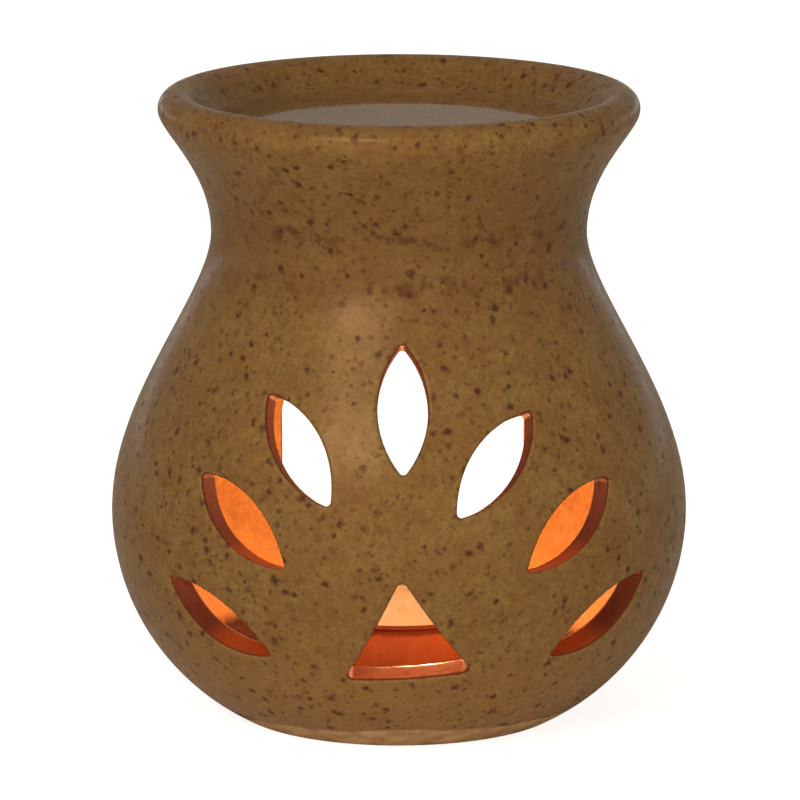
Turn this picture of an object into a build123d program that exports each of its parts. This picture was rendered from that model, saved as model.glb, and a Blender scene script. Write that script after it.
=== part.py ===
from build123d import *
import os
from math import asin, atan2, cos, degrees, radians, sin

os.makedirs("parts", exist_ok=True)

# Lengths are in millimetres and angles in degrees. +Z is up, the axis of the round body is Z,
# the cut flower faces -Y and the arch for the candle faces +Y. The foot stands on Z = 0.

# Outside of the stoneware
overall_height = 100.0
rim_radius = 38.05
neck_radius = 29.75
neck_height = 77.4
belly_radius = 45.8
belly_height = 32.7
foot_radius = 26.0
foot_round = 0.8
flare_angle = 24.0

# How far each end of the wall's curves keeps its own direction, as a share of the curve's rise
shoulder_reach_share = 0.4
under_neck_reach_share = 0.226
over_neck_reach_share = 0.491
flare_reach_share = 0.197

# Clay, where the flat floor ends inside the foot's edge by a share of the wall
wall = 4.3
floor_thickness = 3.4
floor_round = 3.0
floor_inset_share = 0.66
lip_outer_round = 2.9
lip_inner_round = 4.0
dish_depth = 16.5
dish_thickness = 4.5
dish_hollow_round = 2.0
cut_edge_round = 0.5

# Flower of seven petals, cut square to the wall
petal_length = 21.3
petal_width = 7.8
petal_tip_round = 0.7
# Degrees round from the front, share of the wall's way from foot to neck, degrees of lean
petal_place_shares = [
    (0.9, 0.743, 0),
    (-22.3, 0.665, 37),
    (20.9, 0.639, -42.5),
    (-33.4, 0.527, 52.5),
    (36.6, 0.516, -54),
    (-40.3, 0.335, 59.5),
    (46.1, 0.331, -57.5),
]

# Three-cornered window below the flower
window_width = 19.8
window_height = 17.6
window_corner_round = 0.9
window_turn = 1.2
window_way_share = 0.342
window_lean = 4.0

# Candle in its cup
cup_radius = 19.0
cup_height = 13.8
cup_taper = 0.5
cup_metal = 0.3
cup_bead_radius = 0.4
wax_depth = 10.8
wick_radius = 0.8
wick_above_wax = 7.0
sustainer_radius = 6.0
sustainer_metal = 0.3
collar_height = 3.0
collar_metal = 0.3
seat_gap = 0.3

# Arch that the candle goes in by
arch_turn = 0.9
arch_side_gap = 1.0
arch_sill_height = 9.0
arch_top_height = 51.8
arch_foot_round = 10.0
arch_head_round = 13.0

cut_overrun = 4.0


def lower_wall(belly, foot, base):
    # Arc from the foot up to the belly, where it stands upright
    drop = belly - foot
    rise = belly_height - base
    curve = (drop**2 + rise**2) / (2 * drop)
    halfway = atan2(rise, curve - drop) / 2
    middle = (belly - curve + curve * cos(halfway), belly_height - curve * sin(halfway))
    return ThreePointArc((foot, base), middle, (belly, belly_height))


def shoulder_wall(inset):
    belly = belly_radius - inset
    neck = neck_radius - inset
    rise = neck_height - belly_height
    return Bezier(
        (belly, belly_height),
        (belly, belly_height + rise * shoulder_reach_share),
        (neck, neck_height - rise * under_neck_reach_share),
        (neck, neck_height),
    )


def turned(edges, rounded=()):
    # Solid turned about Z from an outline, after rounding the corners nearest to the given points
    outline = make_face(edges)
    for point, radius in rounded:
        corner = outline.vertices().sort_by_distance(point)[0]
        outline = fillet(corner, radius)
    return revolve(Plane.XZ * outline, Axis.Z)


def arc_about(centre, radius, start, end):
    return CenterArc(centre, radius, start, end - start)


def shell():
    floor_radius = foot_radius - wall * floor_inset_share
    outer = [lower_wall(belly_radius, foot_radius, 0), shoulder_wall(0)]
    inner = [lower_wall(belly_radius - wall, floor_radius, floor_thickness), shoulder_wall(wall)]
    edges = [
        Line((0, 0), outer[0] @ 0),
        *outer,
        Line(outer[1] @ 1, inner[1] @ 1),
        *inner,
        Line(inner[0] @ 0, (0, floor_thickness)),
        Line((0, floor_thickness), (0, 0)),
    ]
    return turned(edges, [(outer[0] @ 0, foot_round), (inner[0] @ 0, floor_round)])


outer_wall = Wire([lower_wall(belly_radius, foot_radius, 0), shoulder_wall(0)])


def wall_plane(turn, way):
    # Plane that touches the outside of the wall, with its Y up the wall and its Z outwards
    point = outer_wall @ way
    along = outer_wall % way
    round_by = radians(turn)
    outwards = Vector(sin(round_by), -cos(round_by), 0)
    return Plane(
        origin=outwards * point.X + Vector(0, 0, point.Y),
        x_dir=(cos(round_by), sin(round_by), 0),
        z_dir=outwards * along.Y - Vector(0, 0, along.X),
    )


def through_wall(outline, turn, way, lean):
    placed = wall_plane(turn, way) * Rot(0, 0, lean) * outline
    return extrude(placed, wall + cut_overrun, both=True)


def petal_outline():
    tip = (0, petal_length / 2)
    foot = (0, -petal_length / 2)
    side = petal_width / 2
    outline = make_face([ThreePointArc(tip, (side, 0), foot), ThreePointArc(foot, (-side, 0), tip)])
    return fillet(outline.vertices(), petal_tip_round)


def window_outline():
    half = window_height / 2
    side = window_width / 2
    outline = make_face(Polyline((-side, -half), (side, -half), (0, half), close=True))
    return fillet(outline.vertices(), window_corner_round)


def arch_cutter():
    side = cup_radius + arch_side_gap
    low = arch_sill_height
    high = arch_top_height
    outline = make_face(Polyline((-side, low), (side, low), (side, high), (-side, high), close=True))
    outline = fillet(outline.vertices().group_by(Axis.Y)[0], arch_foot_round)
    outline = fillet(outline.vertices().group_by(Axis.Y)[-1], arch_head_round)
    return Rot(0, 0, -arch_turn) * extrude(Plane.XZ * outline, -(belly_radius + cut_overrun))


def chamber():
    body = shell()
    cutters = [through_wall(petal_outline(), *place) for place in petal_place_shares]
    cutters.append(through_wall(window_outline(), window_turn, window_way_share, window_lean))
    cutters.append(arch_cutter())
    cut = body - cutters
    rims = new_edges(body, *cutters, combined=cut).filter_by(GeomType.LINE, reverse=True)
    return fillet(rims, cut_edge_round)


def dish():
    bottom = overall_height - dish_depth
    crest = rim_radius - lip_outer_round
    inner_centre = overall_height - lip_inner_round
    outer_centre = overall_height - lip_outer_round
    lift = dish_depth - lip_inner_round
    bowl = (crest**2 + lift**2 - lip_inner_round**2) / (2 * dish_depth)
    bowl_centre = bottom + bowl
    lean = degrees(asin(crest / (bowl + lip_inner_round)))
    under = bowl + dish_thickness
    bore = neck_radius - wall
    hollow_lean = degrees(asin(bore / under))
    down = -90
    well = arc_about((0, bowl_centre), bowl, down, down + lean)
    lip_in = arc_about((crest, inner_centre), lip_inner_round, 90 + lean, 90)
    lip_out = arc_about((crest, outer_centre), lip_outer_round, 90, -flare_angle)
    flare_end = lip_out @ 1
    rise = flare_end.Y - neck_height
    flare_back = Vector(sin(radians(flare_angle)), cos(radians(flare_angle))) * rise * flare_reach_share
    neck = (neck_radius, neck_height)
    over_neck = (neck_radius, neck_height + rise * over_neck_reach_share)
    flare = Bezier(neck, over_neck, flare_end - flare_back, flare_end)
    underside = arc_about((0, bowl_centre), under, down, down + hollow_lean)
    groove = underside @ 1
    edges = [
        well,
        lip_in,
        lip_out,
        flare,
        Line(neck, (bore, neck_height)),
        Line((bore, neck_height), groove),
        underside,
        Line(underside @ 0, well @ 0),
    ]
    return turned(edges, [(groove, dish_hollow_round)])


cup_base = floor_thickness + seat_gap
cup_top = cup_base + cup_height
wax_base = cup_base + cup_metal
wax_top = wax_base + wax_depth


def cup_wall_radius(height):
    # Outer radius of the tapered cup, which is narrower at its base
    top = cup_radius - cup_bead_radius
    return top - cup_taper * (cup_top - height) / cup_height


def tealight_cup():
    edges = Polyline(
        (0, cup_base),
        (cup_wall_radius(cup_base), cup_base),
        (cup_wall_radius(cup_top), cup_top),
        (cup_wall_radius(cup_top) - cup_metal, cup_top),
        (cup_wall_radius(wax_base) - cup_metal, wax_base),
        (0, wax_base),
        close=True,
    )
    bead_centre = (cup_wall_radius(cup_top), cup_top - cup_bead_radius)
    outline = make_face(edges) + Pos(*bead_centre) * Circle(cup_bead_radius)
    return revolve(Plane.XZ * outline, Axis.Z)


def sustainer():
    collar = wick_radius + collar_metal
    disc_top = wax_base + sustainer_metal
    edges = Polyline(
        (wick_radius, wax_base),
        (sustainer_radius, wax_base),
        (sustainer_radius, disc_top),
        (collar, disc_top),
        (collar, wax_base + collar_height),
        (wick_radius, wax_base + collar_height),
        close=True,
    )
    return revolve(Plane.XZ * make_face(edges), Axis.Z)


def wick():
    length = wax_depth + wick_above_wax
    return Pos(0, 0, wax_base) * extrude(Circle(wick_radius), length)


def wax():
    edges = Polyline(
        (0, wax_base),
        (cup_wall_radius(wax_base) - cup_metal, wax_base),
        (cup_wall_radius(wax_top) - cup_metal, wax_top),
        (0, wax_top),
        close=True,
    )
    return revolve(Plane.XZ * make_face(edges), Axis.Z) - sustainer() - wick()


export_step(chamber(), "parts/burner_chamber.step")
export_step(dish(), "parts/oil_dish.step")
export_step(tealight_cup(), "parts/tealight_cup.step")
export_step(wax(), "parts/tealight_wax.step")
export_step(wick(), "parts/tealight_wick.step")
export_step(sustainer(), "parts/wick_sustainer.step")
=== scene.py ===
import math

import bmesh
import bpy
from mathutils import Matrix, Vector


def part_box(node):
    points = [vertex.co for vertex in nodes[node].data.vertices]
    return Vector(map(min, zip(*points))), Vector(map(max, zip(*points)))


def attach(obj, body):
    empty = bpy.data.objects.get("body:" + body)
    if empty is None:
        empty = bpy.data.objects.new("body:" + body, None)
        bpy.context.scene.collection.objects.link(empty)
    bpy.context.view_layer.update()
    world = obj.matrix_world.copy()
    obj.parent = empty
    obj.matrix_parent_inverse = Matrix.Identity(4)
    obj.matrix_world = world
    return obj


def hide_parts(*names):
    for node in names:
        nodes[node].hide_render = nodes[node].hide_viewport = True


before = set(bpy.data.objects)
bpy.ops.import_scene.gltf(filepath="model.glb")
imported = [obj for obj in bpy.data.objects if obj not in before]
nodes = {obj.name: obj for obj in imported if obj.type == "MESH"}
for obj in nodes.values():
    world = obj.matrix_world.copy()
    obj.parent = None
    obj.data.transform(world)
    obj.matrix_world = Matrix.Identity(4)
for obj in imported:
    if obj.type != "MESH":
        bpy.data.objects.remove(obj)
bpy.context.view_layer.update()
print("frame loaded:", ", ".join(sorted(nodes)))

mm = 0.001


# Helpers for shader trees

def addNode(tree, kind, inputs=None, **settings):
    node = tree.nodes.new(kind)
    for name, value in settings.items():
        setattr(node, name, value)
    for key, value in (inputs or {}).items():
        if isinstance(value, bpy.types.NodeSocket):
            tree.links.new(value, node.inputs[key])
        else:
            node.inputs[key].default_value = value
    return node


def calc(tree, operation, first, second=0.0, third=0.0, clamp=False):
    values = {0: first, 1: second, 2: third}
    return addNode(tree, "ShaderNodeMath", values, operation=operation, use_clamp=clamp).outputs[0]


def calcVector(tree, operation, first, second=(0.0, 0.0, 0.0)):
    return addNode(tree, "ShaderNodeVectorMath", {0: first, 1: second}, operation=operation).outputs


def blendColours(tree, share, first, second):
    # The Mix node's colours go in at 6 and 7 and come out at 2
    return addNode(tree, "ShaderNodeMix", {0: share, 6: first, 7: second}, data_type="RGBA").outputs[2]


def paint(tree, under, mask, weight, tint):
    return blendColours(tree, calc(tree, "MULTIPLY", mask, weight), under, tint)


def colour(red, green, blue):
    # From the 0 to 255 values of a colour picker to scene linear
    def linear(value):
        share = value / 255
        return share / 12.92 if share <= 0.04045 else ((share + 0.055) / 1.055) ** 2.4
    return (linear(red), linear(green), linear(blue), 1.0)


def span(tree, value, low, high, outLow=0.0, outHigh=1.0, smooth=False):
    kind = "SMOOTHSTEP" if smooth else "LINEAR"
    inputs = {"Value": value, "From Min": low, "From Max": high, "To Min": outLow, "To Max": outHigh}
    return addNode(tree, "ShaderNodeMapRange", inputs, interpolation_type=kind).outputs["Result"]


def runOver(tree, share, ends):
    # From one end at a share of 0 to the other at 1
    first, last = ends
    return calc(tree, "MULTIPLY_ADD", share, last - first, first)


def noise(tree, place, scale, detail=2.0):
    inputs = {"Vector": place, "Scale": scale, "Detail": detail}
    return addNode(tree, "ShaderNodeTexNoise", inputs).outputs["Fac"]


def objectPlace(tree):
    return tree.nodes.new("ShaderNodeTexCoord").outputs["Object"]


def splitAxes(tree, vector):
    # Its three parts, of which 2 is the height
    return addNode(tree, "ShaderNodeSeparateXYZ", {0: vector}).outputs


def relief(tree, height, distance, strength=1.0):
    inputs = {"Strength": strength, "Distance": distance, "Height": height}
    return addNode(tree, "ShaderNodeBump", inputs).outputs["Normal"]


def fillCurve(curve, spots):
    # Takes the curve, which starts with two points, through all the given spots
    points = curve.mapping.curves[0].points
    points[0].location = spots[0]
    points[1].location = spots[-1]
    for spot in spots[1:-1]:
        points.new(*spot)
    curve.mapping.update()
    return curve.outputs[0]


def newMaterial(name):
    material = bpy.data.materials.new(name)
    material.use_nodes = True
    material.node_tree.nodes.clear()
    return material, material.node_tree


def finishMaterial(tree, shader):
    addNode(tree, "ShaderNodeOutputMaterial", {"Surface": shader})


def finishPrincipled(tree, inputs):
    finishMaterial(tree, addNode(tree, "ShaderNodeBsdfPrincipled", inputs).outputs[0])


def newGroup(name, numbers, result):
    # Group that takes a place and some numbers and gives one value
    tree = bpy.data.node_groups.new(name, "ShaderNodeTree")
    tree.interface.new_socket("Vector", in_out="INPUT", socket_type="NodeSocketVector")
    for label in numbers:
        tree.interface.new_socket(label, in_out="INPUT", socket_type="NodeSocketFloat")
    tree.interface.new_socket(result, in_out="OUTPUT", socket_type="NodeSocketFloat")
    return tree, tree.nodes.new("NodeGroupInput").outputs, tree.nodes.new("NodeGroupOutput").inputs


# Specks: round grains spread at random, each with its own size, in cells of one width
grains = {
    "smallest": 0.35,
    "spread": 0.9,
    "ragScale": 2.7,
}


def makeSpeckGroup():
    numbers = ("Cell Width", "Share", "Radius", "Softness", "Ragged")
    tree, given, result = newGroup("grainSpecks", numbers, "Mask")
    place = given["Vector"]
    scale = calc(tree, "DIVIDE", 1.0, given["Cell Width"])
    rag = noise(tree, place, calc(tree, "MULTIPLY", scale, grains["ragScale"]))
    cells = addNode(tree, "ShaderNodeTexVoronoi", {"Vector": place, "Scale": scale})
    chance = addNode(tree, "ShaderNodeSeparateColor", {"Color": cells.outputs["Color"]}).outputs
    picked = calc(tree, "LESS_THAN", chance[0], given["Share"])
    sized = calc(tree, "MULTIPLY_ADD", chance[1], grains["spread"], grains["smallest"])
    reach = calc(tree, "MULTIPLY", calc(tree, "MULTIPLY", given["Radius"], scale), sized)
    uneven = calc(tree, "MULTIPLY", calc(tree, "SUBTRACT", rag, 0.5), given["Ragged"])
    distance = calc(tree, "ADD", cells.outputs["Distance"], calc(tree, "MULTIPLY", uneven, reach))
    core = calc(tree, "MULTIPLY", reach, calc(tree, "SUBTRACT", 1.0, given["Softness"]))
    inside = span(tree, distance, core, reach, 1.0, 0.0, smooth=True)
    tree.links.new(calc(tree, "MULTIPLY", inside, picked), result["Mask"])
    return tree


# Cloudy change over the surface, stretched to run from 0 to 1
def makeCloudGroup():
    tree, given, result = newGroup("cloudyChange", ("Width", "Detail", "Contrast"), "Value")
    scale = calc(tree, "DIVIDE", 1.0, given["Width"])
    swirl = noise(tree, given["Vector"], scale, given["Detail"])
    half = calc(tree, "DIVIDE", 0.5, given["Contrast"])
    low = calc(tree, "SUBTRACT", 0.5, half)
    high = calc(tree, "ADD", 0.5, half)
    tree.links.new(span(tree, swirl, low, high, smooth=True), result["Value"])
    return tree


speckGroup = makeSpeckGroup()
cloudGroup = makeCloudGroup()


def specks(tree, place, grain, crowd):
    inputs = {
        "Vector": place, "Cell Width": grain["cell"], "Radius": grain["radius"],
        "Share": calc(tree, "MULTIPLY_ADD", crowd, grain["crowding"], grain["share"]),
        "Softness": grain["softness"], "Ragged": grain["ragged"],
    }
    return addNode(tree, "ShaderNodeGroup", inputs, node_tree=speckGroup).outputs[0]


def clouds(tree, place, width, detail=3.0, contrast=2.0):
    inputs = {"Vector": place, "Width": width, "Detail": detail, "Contrast": contrast}
    return addNode(tree, "ShaderNodeGroup", inputs, node_tree=cloudGroup).outputs[0]


# Stoneware: satin ash glaze over iron-speckled clay, bare at the foot
stoneware = {
    "olive": colour(142, 114, 65),
    "tan": colour(135, 100, 56),
    "umber": colour(100, 68, 41),
    "rust": colour(84, 48, 34),
    "iron": colour(74, 41, 31),
    "groundPatch": 6 * mm,
    # Darker clouds: width, detail, contrast, strength
    "mottle": ((2.4 * mm, 4.0, 2.4, 0.3), (0.8 * mm, 3.0, 3.2, 0.36)),

    # Painted light and shade: lighter towards the foot as painted bounce light from the table, darker round
    # the neck as painted shade under the flared rim: from, to, strength
    "paintedBounceTint": colour(172, 128, 76),
    "paintedBounceLight": (5 * mm, 26 * mm, 0.42),
    "paintedNeckShade": (2 * mm, 15 * mm, 0.36),
    "neckShadeAbove": 2 * mm,

    # Specks, in the order of painting
    "specks": {
        "haze": {
            "cell": 3.4 * mm, "radius": 1.2 * mm, "share": 0.6, "crowding": 0.0,
            "softness": 1.0, "ragged": 2.0, "weight": 0.3, "tint": "rust",
        },
        "small": {
            "cell": 1.05 * mm, "radius": 0.42 * mm, "share": 0.85, "crowding": 0.0,
            "softness": 1.0, "ragged": 1.8, "weight": 0.45, "tint": "rust",
        },
        "middle": {
            "cell": 1.5 * mm, "radius": 0.62 * mm, "share": 0.75, "crowding": 0.3,
            "softness": 0.95, "ragged": 1.8, "weight": 0.7, "tint": "rust",
        },
        "large": {
            "cell": 2.3 * mm, "radius": 0.88 * mm, "share": 0.65, "crowding": 0.4,
            "softness": 0.9, "ragged": 1.8, "weight": 0.92, "tint": "iron",
        },
    },
    "crowdWidth": 12 * mm,

    # Rows of specks round the neck: height above it, strength
    "seamRows": ((3.5 * mm, 1.0), (-3.6 * mm, 0.6)),
    "seamDrift": 1.3 * mm,
    "seamDriftWidth": 6 * mm,
    "seamThickness": (0.3 * mm, 1.5 * mm),
    "seamGrain": 2.2 * mm,
    "seamGaps": 9 * mm,
    "seamFill": 0.6,

    # The smoked inside, where the specks fade
    "wall": 4.3 * mm,
    "innerFrom": 3.4 * mm,
    "smoke": 0.75,
    "belowNeck": (1.5 * mm, 0.5 * mm),

    # The knife's cuts, under a thinner redder glaze that is partly painted shade and painted orange glow from
    # inside, and their sills, painted brighter as flame light by how far they face up
    "cutFaceAndPaintedShade": colour(94, 40, 31),
    "sillPaintedFlameLight": colour(164, 68, 28),
    "sillLitFacing": (0.75, 0.92),
    "cutFromOutside": (0.12 * mm, 0.4 * mm),
    "cutFromInside": (0.4 * mm, 0.1 * mm),
    "cutWeight": 0.9,

    # The bare foot under the wavy line where the glaze was wiped off
    "bareClay": colour(206, 172, 130),
    "bareClayDark": colour(176, 138, 98),
    "barePatch": 3 * mm,
    "bareSpecks": 0.4,
    "glazeLine": 3.0 * mm,
    "glazeWave": 0.9 * mm,
    "glazeWaveTurn": 6.0,
    "glazeWobble": 0.45 * mm,
    "glazeWobbleWidth": 9 * mm,
    "glazeFade": 0.12 * mm,

    "roughness": (0.23, 0.32),
    "roughPatch": 2.5 * mm,
    "speckRoughness": 0.15,
    "cutRoughness": 0.42,
    "bareRoughness": 0.85,
    "gloss": 0.22,
    "glossTint": (1.0, 0.68, 0.42, 1.0),

    # Relief in millimetres
    "thrownRings": {"Scale": 36.0, "Distortion": 1.6, "Detail": 1.0, "Detail Scale": 1.2},
    "thrownRelief": 0.012,
    "peelScale": 420.0,
    "peelRelief": 0.014,
    "pitRelief": 0.012,
    "gritScale": 2600.0,
    "gritRelief": (0.03, 0.0016),
    "glazeStep": (-0.25 * mm, 0.15 * mm, 0.14),
}
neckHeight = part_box("burner_chamber")[1].z

# How the chamber's outline is felt: number of steps, and how far from its foot and its top
feeler = {
    "steps": 22,
    "aboveFoot": 1.2 * mm,
    "belowTop": 0.1 * mm,
}


def wallRadius(tree, height):
    # Outer radius of the chamber at a height, felt on its right side, which has no cuts
    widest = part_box("burner_chamber")[1].x
    bpy.context.view_layer.update()
    curve = addNode(tree, "ShaderNodeFloatCurve", {"Value": calc(tree, "DIVIDE", height, neckHeight)})
    spots = []
    for step in range(feeler["steps"] + 1):
        share = step / feeler["steps"]
        level = min(max(share * neckHeight, feeler["aboveFoot"]), neckHeight - feeler["belowTop"])
        found, spot, _, _ = nodes["burner_chamber"].ray_cast((2 * widest, 0, level), (-1, 0, 0))
        spots.append((share, spot.x / widest if found else 1.0))
    return calc(tree, "MULTIPLY", fillCurve(curve, spots), widest)


def glazeEdge(tree, place, height):
    # 1 above the wavy line of the glaze and 0 on the bare foot, and the height above that line
    turned = addNode(tree, "ShaderNodeMapping", {"Vector": place}, vector_type="POINT")
    turned.inputs["Rotation"].default_value[2] = math.radians(-stoneware["glazeWaveTurn"])
    flat = calcVector(tree, "MULTIPLY", turned.outputs[0], (1, 1, 0))[0]
    side = splitAxes(tree, calcVector(tree, "NORMALIZE", flat)[0])
    across, along = (calc(tree, "POWER", side[axis], 2.0) for axis in (0, 1))
    lobes = calc(tree, "SUBTRACT", along, across)
    line = calc(tree, "MULTIPLY_ADD", lobes, stoneware["glazeWave"], stoneware["glazeLine"])
    wobble = clouds(tree, place, stoneware["glazeWobbleWidth"], 2.0)
    reach = stoneware["glazeWobble"]
    line = calc(tree, "ADD", line, runOver(tree, wobble, (-reach, reach)))
    above = calc(tree, "SUBTRACT", height, line)
    return span(tree, above, -stoneware["glazeFade"], stoneware["glazeFade"], smooth=True), above


def glazeGround(tree, place, height):
    patches = clouds(tree, place, stoneware["groundPatch"], 4.0)
    ground = blendColours(tree, patches, stoneware["tan"], stoneware["olive"])
    for width, detail, contrast, weight in stoneware["mottle"]:
        ground = paint(tree, ground, clouds(tree, place, width, detail, contrast), weight, stoneware["umber"])

    # Painted bounce light: lighter towards the foot
    low, high, weight = stoneware["paintedBounceLight"]
    paintedBounceLight = span(tree, height, low, high, weight, 0.0, smooth=True)
    ground = blendColours(tree, paintedBounceLight, ground, stoneware["paintedBounceTint"])

    # Painted shade round the neck, under the flared rim
    low, high, weight = stoneware["paintedNeckShade"]
    middle = neckHeight + stoneware["neckShadeAbove"]
    fromNeck = calc(tree, "ABSOLUTE", calc(tree, "SUBTRACT", height, middle))
    paintedNeckShade = span(tree, fromNeck, low, high, weight, 0.0, smooth=True)
    return blendColours(tree, paintedNeckShade, ground, stoneware["umber"])


def speckRow(tree, place, height, level):
    # Broken row of joined specks round the neck, near where the dish was set on the chamber
    reach = stoneware["seamDrift"]
    wander = clouds(tree, place, stoneware["seamDriftWidth"])
    drift = runOver(tree, wander, (-reach, reach))
    away = calc(tree, "ABSOLUTE", calc(tree, "SUBTRACT", calc(tree, "SUBTRACT", height, level), drift))
    swell = clouds(tree, place, stoneware["seamGrain"], 2.0, 3.0)
    thickness = runOver(tree, swell, stoneware["seamThickness"])
    line = calc(tree, "SUBTRACT", 1.0, calc(tree, "DIVIDE", away, thickness), clamp=True)
    pieces = clouds(tree, place, stoneware["seamGrain"], 3.0, 4.0)
    broken = calc(tree, "MULTIPLY", pieces, clouds(tree, place, stoneware["seamGaps"], 2.0, 3.0))
    return calc(tree, "MULTIPLY", calc(tree, "POWER", line, stoneware["seamFill"]), broken)


def clayRelief(tree, place, glazed, above, pits):
    rings = {"Vector": place, **stoneware["thrownRings"]}
    thrown = addNode(tree, "ShaderNodeTexWave", rings, bands_direction="Z").outputs["Fac"]
    peel = calc(tree, "MULTIPLY", noise(tree, place, stoneware["peelScale"]), stoneware["peelRelief"])
    grit = noise(tree, place, stoneware["gritScale"])
    gritty = span(tree, glazed, 0.0, 1.0, *stoneware["gritRelief"])
    low, high, step = stoneware["glazeStep"]
    height = calc(tree, "MULTIPLY_ADD", thrown, stoneware["thrownRelief"], peel)
    height = calc(tree, "MULTIPLY_ADD", pits, -stoneware["pitRelief"], height)
    height = calc(tree, "MULTIPLY_ADD", grit, gritty, height)
    height = calc(tree, "ADD", height, span(tree, above, low, high, 0.0, step, smooth=True))
    return relief(tree, height, 1.0 * mm)


def makeStoneware():
    material, tree = newMaterial("speckledStoneware")
    place = objectPlace(tree)
    height = splitAxes(tree, place)[2]
    flat = calcVector(tree, "MULTIPLY", place, (1, 1, 0))[0]
    radius = calcVector(tree, "LENGTH", flat)["Value"]
    glazed, above = glazeEdge(tree, place, height)
    coat = glazeGround(tree, place, height)

    # Depth into the chamber's wall, where the specks fade on the smoked inside
    fadeFrom, fadeTo = (neckHeight - gap for gap in stoneware["belowNeck"])
    below = span(tree, height, fadeFrom, fadeTo, 1.0, 0.0)
    wall = stoneware["wall"]
    depth = calc(tree, "SUBTRACT", wallRadius(tree, height), radius)
    smoked = calc(tree, "MULTIPLY", span(tree, depth, stoneware["innerFrom"], wall), below)
    clean = calc(tree, "MULTIPLY_ADD", smoked, -stoneware["smoke"], 1.0)

    crowd = clouds(tree, place, stoneware["crowdWidth"], 2.0)
    masks = {}
    for name, grain in stoneware["specks"].items():
        masks[name] = specks(tree, place, grain, crowd)
        mask = calc(tree, "MULTIPLY", masks[name], clean)
        coat = paint(tree, coat, mask, grain["weight"], stoneware[grain["tint"]])
    for lift, weight in stoneware["seamRows"]:
        mask = calc(tree, "MULTIPLY", speckRow(tree, place, height, neckHeight + lift), clean)
        coat = paint(tree, coat, mask, weight, stoneware["rust"])

    # The knife's cuts show the body under a thinner, redder glaze, darkened with painted shade and reddened
    # with painted orange glow from inside; on the sills it is painted brighter as a pool of flame light
    behind = span(tree, depth, *stoneware["cutFromOutside"], smooth=True)
    fadeFrom, fadeTo = (wall - gap for gap in stoneware["cutFromInside"])
    before = span(tree, depth, fadeFrom, fadeTo, 1.0, 0.0, smooth=True)
    cut = calc(tree, "MULTIPLY", calc(tree, "MULTIPLY", behind, before), below)
    upward = splitAxes(tree, tree.nodes.new("ShaderNodeTexCoord").outputs["Normal"])[2]
    # Painted flame light on the sills, by how far they face up
    flameLitSill = span(tree, upward, *stoneware["sillLitFacing"], smooth=True)
    cutTintAndPaintedLight = blendColours(tree, flameLitSill, stoneware["cutFaceAndPaintedShade"], stoneware["sillPaintedFlameLight"])
    coat = paint(tree, coat, cut, stoneware["cutWeight"], cutTintAndPaintedLight)

    firing = clouds(tree, place, stoneware["barePatch"], 4.0, 2.5)
    clay = blendColours(tree, firing, stoneware["bareClay"], stoneware["bareClayDark"])
    clay = paint(tree, clay, masks["middle"], stoneware["bareSpecks"], stoneware["rust"])
    skin = blendColours(tree, glazed, clay, coat)

    satin = clouds(tree, place, stoneware["roughPatch"], 3.0, 2.5)
    rough = runOver(tree, satin, stoneware["roughness"])
    rough = calc(tree, "MULTIPLY_ADD", masks["large"], stoneware["speckRoughness"], rough)
    rough = calc(tree, "MULTIPLY_ADD", cut, stoneware["cutRoughness"], rough)
    bare = runOver(tree, glazed, (stoneware["bareRoughness"], 0.0))
    rough = calc(tree, "MULTIPLY_ADD", rough, glazed, bare)

    pits = calc(tree, "MAXIMUM", masks["large"], masks["middle"])
    finishPrincipled(tree, {
        "Base Color": skin, "Roughness": rough, "IOR": 1.5,
        "Normal": clayRelief(tree, place, glazed, above, pits),
        "Specular IOR Level": stoneware["gloss"], "Specular Tint": stoneware["glossTint"],
    })
    return material


# Candle: foil cup, melted wax, wick and its tin foot
# Roughness runs over two values, and relief is depth and strength
candle = {
    # The foil's pink-red tint is a painted reflection of the flame-lit clay inside
    "foil": (0.78, 0.46, 0.40, 1.0),
    # Darker and redder at the rolled rim: painted shade that dims its bright bead
    "rimPaintedShade": (0.48, 0.2, 0.17, 1.0),
    "foilRoughness": (0.46, 0.62),
    "foilStretch": (1.0, 1.0, 0.25),
    "foilWear": 1.6 * mm,
    "foilDents": 150.0,
    "foilRelief": (0.3 * mm, 0.8),
    "rimShadeBelowTop": (1.0 * mm, 0.8 * mm),
    "wax": colour(244, 236, 214),
    "waxMelt": colour(236, 216, 176),
    "waxPatch": 7 * mm,
    "waxWear": 2 * mm,
    "waxRoughness": (0.4, 0.55),
    # The flame's light on the wax and the unburnt wick, painted on as a glow
    "paintedFlameTint": colour(255, 196, 120),
    "waxPaintedFlameLight": 0.32,
    "cotton": colour(238, 220, 186),
    "cottonShade": colour(214, 184, 138),
    "char": colour(34, 26, 22),
    "cottonRoughness": (0.7, 0.9),
    "wickPaintedFlameLight": 0.3,
    "cottonFibre": 0.5 * mm,
    "cottonRelief": (0.1 * mm, 0.8),
    "tin": (0.62, 0.62, 0.63, 1.0),
    "tinWear": 1.2 * mm,
    "tinRoughness": (0.3, 0.5),
}


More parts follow.
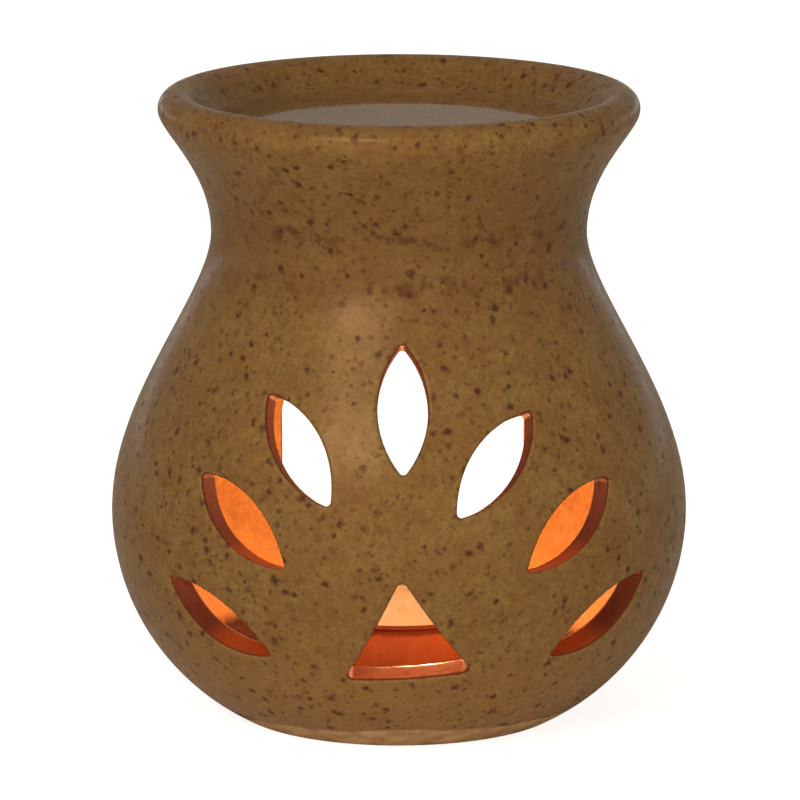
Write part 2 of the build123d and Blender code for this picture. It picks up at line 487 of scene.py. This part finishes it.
def makeFoil():
    material, tree = newMaterial("pressedFoil")
    place = objectPlace(tree)
    streak = addNode(tree, "ShaderNodeMapping", {"Vector": place, "Scale": candle["foilStretch"]})
    worn = clouds(tree, streak.outputs[0], candle["foilWear"], 4.0)
    dents = noise(tree, place, candle["foilDents"])
    # Painted shade on the rim, from a little below its top
    fadeFrom, fadeTo = (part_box("tealight_cup")[1].z - gap for gap in candle["rimShadeBelowTop"])
    towardsTop = span(tree, splitAxes(tree, place)[2], fadeFrom, fadeTo)
    # Base colour: the red tint is a painted reflection, the darker rim painted shade
    finishPrincipled(tree, {
        "Base Color": blendColours(tree, towardsTop, candle["foil"], candle["rimPaintedShade"]), "Metallic": 1.0,
        "Roughness": runOver(tree, worn, candle["foilRoughness"]),
        "Normal": relief(tree, dents, *candle["foilRelief"]),
    })
    return material


def makeWax():
    material, tree = newMaterial("meltedWax")
    place = objectPlace(tree)
    depth = clouds(tree, place, candle["waxPatch"])
    worn = clouds(tree, place, candle["waxWear"], 2.0)
    finishPrincipled(tree, {
        "Base Color": blendColours(tree, depth, candle["wax"], candle["waxMelt"]),
        "Roughness": runOver(tree, worn, candle["waxRoughness"]), "IOR": 1.43, "Specular IOR Level": 0.2,
        "Subsurface Weight": 0.5, "Subsurface Scale": 3 * mm, "Subsurface Radius": (1.0, 0.6, 0.35),
        # Painted flame light: the wax glows with the flame's light instead of being lit by the lamp
        "Emission Color": candle["paintedFlameTint"], "Emission Strength": candle["waxPaintedFlameLight"],
    })
    return material


def makeCotton(charFrom, charTo):
    material, tree = newMaterial("braidedCotton")
    place = objectPlace(tree)
    towardsTop = span(tree, splitAxes(tree, place)[2], charFrom, charTo, smooth=True)
    fibres = clouds(tree, place, candle["cottonFibre"])
    cotton = blendColours(tree, fibres, candle["cotton"], candle["cottonShade"])
    finishPrincipled(tree, {
        "Base Color": blendColours(tree, towardsTop, cotton, candle["char"]),
        "Roughness": runOver(tree, fibres, candle["cottonRoughness"]),
        "Normal": relief(tree, fibres, *candle["cottonRelief"]),
        # Painted flame light: the unburnt wick glows, fading where it is charred
        "Emission Color": candle["paintedFlameTint"],
        "Emission Strength": runOver(tree, towardsTop, (candle["wickPaintedFlameLight"], 0.0)),
    })
    return material


def makeTin():
    material, tree = newMaterial("tinnedSheet")
    worn = clouds(tree, objectPlace(tree), candle["tinWear"])
    finishPrincipled(tree, {
        "Base Color": candle["tin"], "Metallic": 1.0,
        "Roughness": runOver(tree, worn, candle["tinRoughness"]),
    })
    return material


# Helpers for meshes

def meshObject(name, bm, material, smooth=True):
    mesh = bpy.data.meshes.new(name)
    bm.to_mesh(mesh)
    bm.free()
    for face in mesh.polygons:
        face.use_smooth = smooth
    piece = bpy.data.objects.new(name, mesh)
    piece.data.materials.append(material)
    bpy.context.scene.collection.objects.link(piece)
    return piece


def dress(node, material):
    if not node.material_slots:
        node.data.materials.append(material)
    for slot in node.material_slots:
        slot.material = material


def everything(bm):
    return bm.verts[:] + bm.edges[:] + bm.faces[:]


def turnProfile(points, steps):
    # Closed skin from an outline (radius, height) that starts and ends on the axis
    bm = bmesh.new()
    corners = [bm.verts.new((radius, 0.0, height)) for radius, height in points]
    edges = [bm.edges.new(pair) for pair in zip(corners, corners[1:])]
    bmesh.ops.spin(
        bm, geom=corners + edges, cent=(0, 0, 0), axis=(0, 0, 1), angle=2 * math.pi,
        steps=steps, use_merge=True)
    bmesh.ops.remove_doubles(bm, verts=bm.verts[:], dist=1e-6)
    bmesh.ops.recalc_face_normals(bm, faces=bm.faces[:])
    return bm


# Water with a little oil, filling the dish's round bowl
water = {
    "bowlCurve": 41.69 * mm,
    "dishDepth": 16.5 * mm,
    "fromRim": 4.5 * mm,
    "intoClay": 0.15 * mm,
    "climb": 0.55 * mm,
    # Steps down from the edge to the level: width, fall
    "insets": ((0.35 * mm, 0.3 * mm), (0.5 * mm, 0.18 * mm), (0.8 * mm, 0.07 * mm)),
    "turnSteps": 160,
    "riseSteps": 128,
    "tint": (0.93, 0.95, 0.92, 1.0),
    "swell": 60.0,
    "swellRelief": (0.1 * mm, 0.25),
}


def makeWaterMaterial():
    # Clear to shadow rays, so that the bowl under it stays lit
    material, tree = newMaterial("stillWater")
    swell = noise(tree, objectPlace(tree), water["swell"], 1.0)
    glass = addNode(tree, "ShaderNodeBsdfPrincipled", {
        "Base Color": water["tint"], "Roughness": 0.02, "IOR": 1.333, "Transmission Weight": 1.0,
        "Normal": relief(tree, swell, *water["swellRelief"]),
    })
    clear = addNode(tree, "ShaderNodeBsdfTransparent", {"Color": water["tint"]})
    shadow = tree.nodes.new("ShaderNodeLightPath").outputs["Is Shadow Ray"]
    both = addNode(tree, "ShaderNodeMixShader", {0: shadow, 1: glass.outputs[0], 2: clear.outputs[0]})
    finishMaterial(tree, both.outputs[0])
    return material


def makeWater():
    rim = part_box("oil_dish")[1].z
    centre = rim - water["dishDepth"] + water["bowlCurve"]
    edgeHeight = rim - water["fromRim"] + water["climb"]
    bm = bmesh.new()
    bmesh.ops.create_uvsphere(
        bm, u_segments=water["turnSteps"], v_segments=water["riseSteps"],
        radius=water["bowlCurve"] + water["intoClay"], matrix=Matrix.Translation((0, 0, centre)))
    cut = bmesh.ops.bisect_plane(
        bm, geom=everything(bm), dist=1e-7, plane_co=(0, 0, edgeHeight), plane_no=(0, 0, 1),
        clear_outer=True)
    rimEdges = [part for part in cut["geom_cut"] if isinstance(part, bmesh.types.BMEdge)]
    top = bmesh.ops.contextual_create(bm, geom=rimEdges)["faces"]
    for width, fall in water["insets"]:
        bmesh.ops.inset_region(bm, faces=top, thickness=width, use_even_offset=True)
        bmesh.ops.translate(bm, verts=list({v for f in top for v in f.verts}), vec=(0, 0, -fall))
    bmesh.ops.recalc_face_normals(bm, faces=bm.faces[:])
    piece = meshObject("dishWater", bm, makeWaterMaterial())
    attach(piece, "burner")


# Foil cup with a rolled rim and shallow pressed flutes
cup = {
    "flutes": 48,
    "stepsPerFlute": 6,
    "fluteDepth": 0.1 * mm,
    "metal": 0.12 * mm,
    "cornerRound": 0.9 * mm,
    "cornerMiddle": 0.3,
    "baseRing": (9.5 * mm, 0.35 * mm),
    "ringSlope": 0.6 * mm,
    "taper": 0.5 * mm,
    "rows": 10,
    "beadRadius": 0.4 * mm,
    "beadTurns": range(-50, 191, 40),
}


def makeCup():
    low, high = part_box("tealight_cup")
    bead = cup["beadRadius"]
    top = high.x - bead
    base = top - cup["taper"]
    rnd = cup["cornerRound"]
    cut = rnd * cup["cornerMiddle"]
    wallLow = low.z + rnd
    wallHigh = high.z - 2 * bead
    ringRadius, ringRise = cup["baseRing"]
    outline = [
        (0.0, low.z + ringRise), (ringRadius - cup["ringSlope"], low.z + ringRise), (ringRadius, low.z),
        (base - rnd, low.z), (base - cut, low.z + cut), (base, wallLow),
    ]
    for row in range(1, cup["rows"] + 1):
        share = row / cup["rows"]
        outline.append((base + (top - base) * share, wallLow + (wallHigh - wallLow) * share))
    for turn in cup["beadTurns"]:
        angle = math.radians(turn)
        outline.append((top + bead * math.cos(angle), high.z - bead + bead * math.sin(angle)))
    bm = turnProfile(outline, cup["flutes"] * cup["stepsPerFlute"])
    for vert in bm.verts:
        share = (vert.co.z - wallLow) / (wallHigh - wallLow)
        if 0 <= share <= 1 and vert.co.xy.length > ringRadius + mm:
            turn = math.atan2(vert.co.y, vert.co.x)
            fade = math.sin(math.pi * share) ** 0.5
            pressed = cup["fluteDepth"] * 0.5 * (1 + math.cos(turn * cup["flutes"])) * fade
            vert.co.xy *= 1 - pressed / vert.co.xy.length
    piece = meshObject("foilCup", bm, makeFoil())
    solid = piece.modifiers.new("metal", "SOLIDIFY")
    solid.thickness = cup["metal"]
    solid.offset = -1
    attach(piece, "tealight")
    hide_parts("tealight_cup")


# Wax melted flat, climbing a little at the foil and at the wick
waxShape = {
    "climb": 0.5 * mm,
    "wickClimb": 0.4 * mm,
    "sideGap": 0.05 * mm,
    "baseRound": (0.5 * mm, 0.4 * mm),
    "taper": 0.4 * mm,
    # How far from the foil or from the wick, and how high above the level
    "atFoil": ((0.25 * mm, 0.22 * mm), (0.7 * mm, 0.06 * mm), (1.6 * mm, 0.0)),
    "atWick": ((2.2 * mm, 0.0), (0.8 * mm, 0.1 * mm)),
    "insideWick": 0.6,
    "steps": 96,
}


def makeWaxPiece():
    low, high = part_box("tealight_wax")
    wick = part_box("tealight_wick")[1].x
    outer = high.x - waxShape["sideGap"]
    base = outer - waxShape["taper"]
    level = high.z
    inwards, upwards = waxShape["baseRound"]
    top = level + waxShape["wickClimb"]
    outline = [(0.0, low.z), (base - inwards, low.z), (base, low.z + upwards)]
    outline.append((outer, level + waxShape["climb"]))
    outline += [(outer - gap, level + lift) for gap, lift in waxShape["atFoil"]]
    outline += [(wick + gap, level + lift) for gap, lift in waxShape["atWick"]]
    outline += [(wick * waxShape["insideWick"], top), (0.0, top)]
    piece = meshObject("meltedWax", turnProfile(outline, waxShape["steps"]), makeWax())
    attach(piece, "tealight")
    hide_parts("tealight_wax")


# Wick: twisted cotton that leans over as it burns
wickShape = {
    "strands": 3,
    "turns": 4.0,
    "strandDepth": 0.12 * mm,
    "taperFrom": 0.7,
    "taper": 0.35,
    "lean": (2.4 * mm, -0.5 * mm),
    "leanOver": 3.0 * mm,
    "buried": 4.0 * mm,
    "charAboveWax": (4.6 * mm, 6.2 * mm),
    "turnSteps": 24,
    "rows": 36,
}


def makeWick():
    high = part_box("tealight_wick")[1]
    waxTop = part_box("tealight_wax")[1].z
    bottom = waxTop - wickShape["buried"]
    length = high.z - bottom
    bm = bmesh.new()
    bmesh.ops.create_cone(
        bm, cap_ends=True, segments=wickShape["turnSteps"], radius1=high.x, radius2=high.x,
        depth=length, matrix=Matrix.Translation((0, 0, bottom + length / 2)))
    for row in range(1, wickShape["rows"]):
        height = bottom + length * row / wickShape["rows"]
        bmesh.ops.bisect_plane(
            bm, geom=everything(bm), dist=1e-7, plane_co=(0, 0, height), plane_no=(0, 0, 1))
    for vert in bm.verts:
        share = (vert.co.z - bottom) / length
        turn = math.atan2(vert.co.y, vert.co.x) + 2 * math.pi * wickShape["turns"] * share
        groove = wickShape["strandDepth"] * (1 - abs(math.sin(turn * wickShape["strands"] / 2)))
        towardsTop = max(0, share - wickShape["taperFrom"]) / (1 - wickShape["taperFrom"])
        vert.co.xy *= (1 - groove / high.x) * (1 - wickShape["taper"] * towardsTop)
        over = min(1, max(0, (vert.co.z - waxTop) / wickShape["leanOver"]))
        vert.co += Vector((*wickShape["lean"], 0)) * over
    bmesh.ops.recalc_face_normals(bm, faces=bm.faces[:])
    charFrom, charTo = (waxTop + lift for lift in wickShape["charAboveWax"])
    piece = meshObject("cottonWick", bm, makeCotton(charFrom, charTo))
    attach(piece, "tealight")
    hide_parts("tealight_wick")


# Flame: a bright heart inside a thinner, darker mantle
flame = {
    "foot": 4.2 * mm,
    "glow": 3.2,
    "heart": {
        "name": "flameHeart", "lift": 0.4 * mm, "height": 13.0 * mm, "radius": 2.1 * mm,
        "tints": (
            (0.0, (0.8, 0.42, 0.22, 1.0)), (0.22, (0.95, 0.55, 0.2, 1.0)),
            (0.5, (1.0, 0.86, 0.44, 1.0)), (1.0, (1.0, 0.7, 0.26, 1.0)),
        ),
        "solid": ((0.0, 0.02), (0.25, 0.35), (0.5, 0.95), (1.0, 0.9)),
    },
    "mantle": {
        "name": "flameMantle", "lift": 0.0, "height": 17.0 * mm, "radius": 3.2 * mm,
        "tints": (
            (0.0, (0.3, 0.16, 0.2, 1.0)), (0.25, (0.6, 0.24, 0.08, 1.0)),
            (0.7, (1.0, 0.55, 0.16, 1.0)), (1.0, (1.0, 0.38, 0.08, 1.0)),
        ),
        "solid": ((0.0, 0.02), (0.3, 0.1), (0.7, 0.3), (1.0, 0.5)),
    },
    "turnSteps": 32,
    "riseSteps": 40,
    "widestLow": 0.62,
    "fullness": 0.8,
    "drawIn": 0.18,
    "footLean": 0.8,
    "asideLean": 0.9,
    "lamp": 0.24,
    "lampColour": (1.0, 0.4, 0.17),
    "lampRadius": 2.2 * mm,
    "lampRise": 0.72,
}


def makeFlameMaterial(form, bottom):
    material, tree = newMaterial(form["name"])
    share = span(tree, splitAxes(tree, objectPlace(tree))[2], bottom, bottom + form["height"])
    ramp = addNode(tree, "ShaderNodeValToRGB", {"Fac": share})
    first, *between, last = form["tints"]
    ends = ramp.color_ramp.elements
    ends[0].position, ends[0].color = first
    ends[1].position, ends[1].color = last
    for position, tint in between:
        ends.new(position).color = tint
    solid = addNode(tree, "ShaderNodeFloatCurve", {"Value": share})
    finishPrincipled(tree, {
        "Base Color": (0.0, 0.0, 0.0, 1.0), "Roughness": 1.0, "Specular IOR Level": 0.0,
        "Emission Color": ramp.outputs["Color"], "Emission Strength": flame["glow"],
        "Alpha": fillCurve(solid, form["solid"]),
    })
    return material


def teardrop(form, bottom):
    leanX, leanY = wickShape["lean"]
    bm = bmesh.new()
    bmesh.ops.create_uvsphere(
        bm, u_segments=flame["turnSteps"], v_segments=flame["riseSteps"], radius=1.0)
    for vert in bm.verts:
        share = (vert.co.z + 1) / 2
        width = math.sin(math.pi * share ** flame["widestLow"]) ** flame["fullness"]
        width *= 1 - flame["drawIn"] * share
        flat = vert.co.xy.length
        if flat > 1e-6:
            vert.co.xy *= form["radius"] * width / flat
        vert.co.z = bottom + form["lift"] + form["height"] * share
        vert.co.x += leanX * (flame["footLean"] + (1 - flame["footLean"]) * share)
        vert.co.y += leanY * flame["asideLean"]
    bmesh.ops.remove_doubles(bm, verts=bm.verts[:], dist=1e-7)
    bmesh.ops.recalc_face_normals(bm, faces=bm.faces[:])
    piece = meshObject(form["name"], bm, makeFlameMaterial(form, bottom))
    piece.visible_shadow = False  # the lamp sits inside
    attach(piece, "tealight")


def makeFlame():
    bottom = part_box("tealight_wax")[1].z + flame["foot"]
    teardrop(flame["heart"], bottom)
    teardrop(flame["mantle"], bottom)

    data = bpy.data.lights.new("flameLamp", "POINT")
    data.energy = flame["lamp"]
    data.color = flame["lampColour"]
    data.shadow_soft_size = flame["lampRadius"]
    lamp = bpy.data.objects.new("flameLamp", data)
    lamp.location = (*wickShape["lean"], bottom + flame["heart"]["height"] * flame["lampRise"])
    bpy.context.scene.collection.objects.link(lamp)
    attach(lamp, "tealight")

    # It lights the clay alone: on wax and wick its light is painted on as glow, and the foil mirrors the
    # flame
    lit = bpy.data.collections.new("litByFlame")
    for name in ("burner_chamber", "oil_dish"):
        lit.objects.link(nodes[name])
    lamp.light_linking.receiver_collection = lit


clay = makeStoneware()
for name in ("burner_chamber", "oil_dish"):
    dress(nodes[name], clay)
dress(nodes["wick_sustainer"], makeTin())
print("clay glazed")

makeCup()
makeWaxPiece()
makeWick()
makeFlame()
print("candle made")

makeWater()
print("dish filled")


# Table, surroundings, lamps and camera
studio = {
    "tableSize": 8.0,
    "tableColour": (0.76, 0.72, 0.66, 1.0),
    "tableSeen": 0.84,
    "tableNear": (1.0, 3.0),
    "skyLight": 0.34,
    "skyColour": (1.0, 0.89, 0.75, 1.0),
    "white": (1.0, 1.0, 1.0, 1.0),
    "backdropTop": (0.5, 2.5),
    "key": {
        "turn": -23.0, "rise": 34.5, "distance": 1.1, "size": (0.5, 0.24), "power": 4.4,
        "colour": (1.0, 0.84, 0.68),
    },
    "fill": {
        "turn": 6.0, "rise": 3.5, "distance": 1.6, "size": (1.0, 0.3), "power": 9.5,
        "colour": (1.0, 0.93, 0.85),
    },
    "aim": 0.055,
}


def makeTable():
    # Pale table that shows white; close by, the glaze mirrors only its lit colour
    material, tree = newMaterial("paleTable")
    path = tree.nodes.new("ShaderNodeLightPath").outputs
    distant = span(tree, path["Ray Length"], *studio["tableNear"])
    mirrored = calc(tree, "MULTIPLY", path["Is Glossy Ray"], distant)
    seen = calc(tree, "MAXIMUM", path["Is Camera Ray"], path["Is Transmission Ray"])
    seen = calc(tree, "MULTIPLY", calc(tree, "MAXIMUM", seen, mirrored), studio["tableSeen"])
    matt = addNode(tree, "ShaderNodeBsdfDiffuse", {"Color": studio["tableColour"]})
    glow = addNode(tree, "ShaderNodeEmission", {"Strength": seen})
    both = addNode(tree, "ShaderNodeAddShader", {0: matt.outputs[0], 1: glow.outputs[0]})
    finishMaterial(tree, both.outputs[0])
    bm = bmesh.new()
    bmesh.ops.create_grid(bm, x_segments=2, y_segments=2, size=studio["tableSize"] / 2)
    meshObject("table", bm, material, smooth=False)


def makeSurroundings():
    # White all round for the camera, and for gloss and glass a white backdrop with a dim room above it
    world = bpy.data.worlds.new("surroundings")
    bpy.context.scene.world = world
    world.use_nodes = True
    tree = world.node_tree
    tree.nodes.clear()
    path = tree.nodes.new("ShaderNodeLightPath").outputs
    rise = splitAxes(tree, tree.nodes.new("ShaderNodeTexCoord").outputs["Generated"])[2]
    low, high = (math.sin(math.radians(angle)) for angle in studio["backdropTop"])
    mirrored = calc(tree, "MAXIMUM", path["Is Glossy Ray"], path["Is Transmission Ray"])
    mirrored = calc(tree, "MULTIPLY", mirrored, span(tree, rise, low, high, 1.0, 0.0, smooth=True))
    seen = calc(tree, "MAXIMUM", path["Is Camera Ray"], mirrored)
    room = {"Color": studio["skyColour"], "Strength": studio["skyLight"]}
    soft = addNode(tree, "ShaderNodeBackground", room)
    white = addNode(tree, "ShaderNodeBackground", {"Color": studio["white"], "Strength": 1.0})
    both = addNode(tree, "ShaderNodeMixShader", {0: seen, 1: soft.outputs[0], 2: white.outputs[0]})
    addNode(tree, "ShaderNodeOutputWorld", {"Surface": both.outputs[0]})


def makeLamp(name, plan):
    data = bpy.data.lights.new(name, "AREA")
    data.shape = "RECTANGLE"
    data.energy = plan["power"]
    data.color = plan["colour"]
    data.size, data.size_y = plan["size"]
    turn, rise = math.radians(plan["turn"]), math.radians(plan["rise"])
    away = Vector((math.sin(turn) * math.cos(rise), -math.cos(turn) * math.cos(rise), math.sin(rise)))
    lamp = bpy.data.objects.new(name, data)
    lamp.location = Vector((0, 0, studio["aim"])) + away * plan["distance"]
    lamp.rotation_mode = "QUATERNION"
    lamp.rotation_quaternion = away.to_track_quat("Z", "Y")
    bpy.context.scene.collection.objects.link(lamp)
    return lamp


# From the front and a little above, aimed at the burner's middle
view = {
    "lens": 289.1,
    "aside": 0.16 * mm,
    "back": 1.0,
    "height": 262.78 * mm,
    "aimHeight": 49.9 * mm,
    "farthest": 50.0,
}


def makeCamera():
    data = bpy.data.cameras.new("camera")
    data.lens = view["lens"]
    data.clip_end = view["farthest"]
    camera = bpy.data.objects.new("camera", data)
    camera.location = (view["aside"], -view["back"], view["height"])
    towards = Vector((view["aside"], 0, view["aimHeight"])) - camera.location
    camera.rotation_mode = "QUATERNION"
    camera.rotation_quaternion = towards.to_track_quat("-Z", "Y")
    bpy.context.scene.collection.objects.link(camera)
    bpy.context.scene.camera = camera


makeTable()
makeSurroundings()
makeLamp("keyLamp", studio["key"])
makeLamp("fillLamp", studio["fill"]).visible_glossy = False
makeCamera()
bpy.context.scene.view_settings.view_transform = "Standard"
print("studio set")
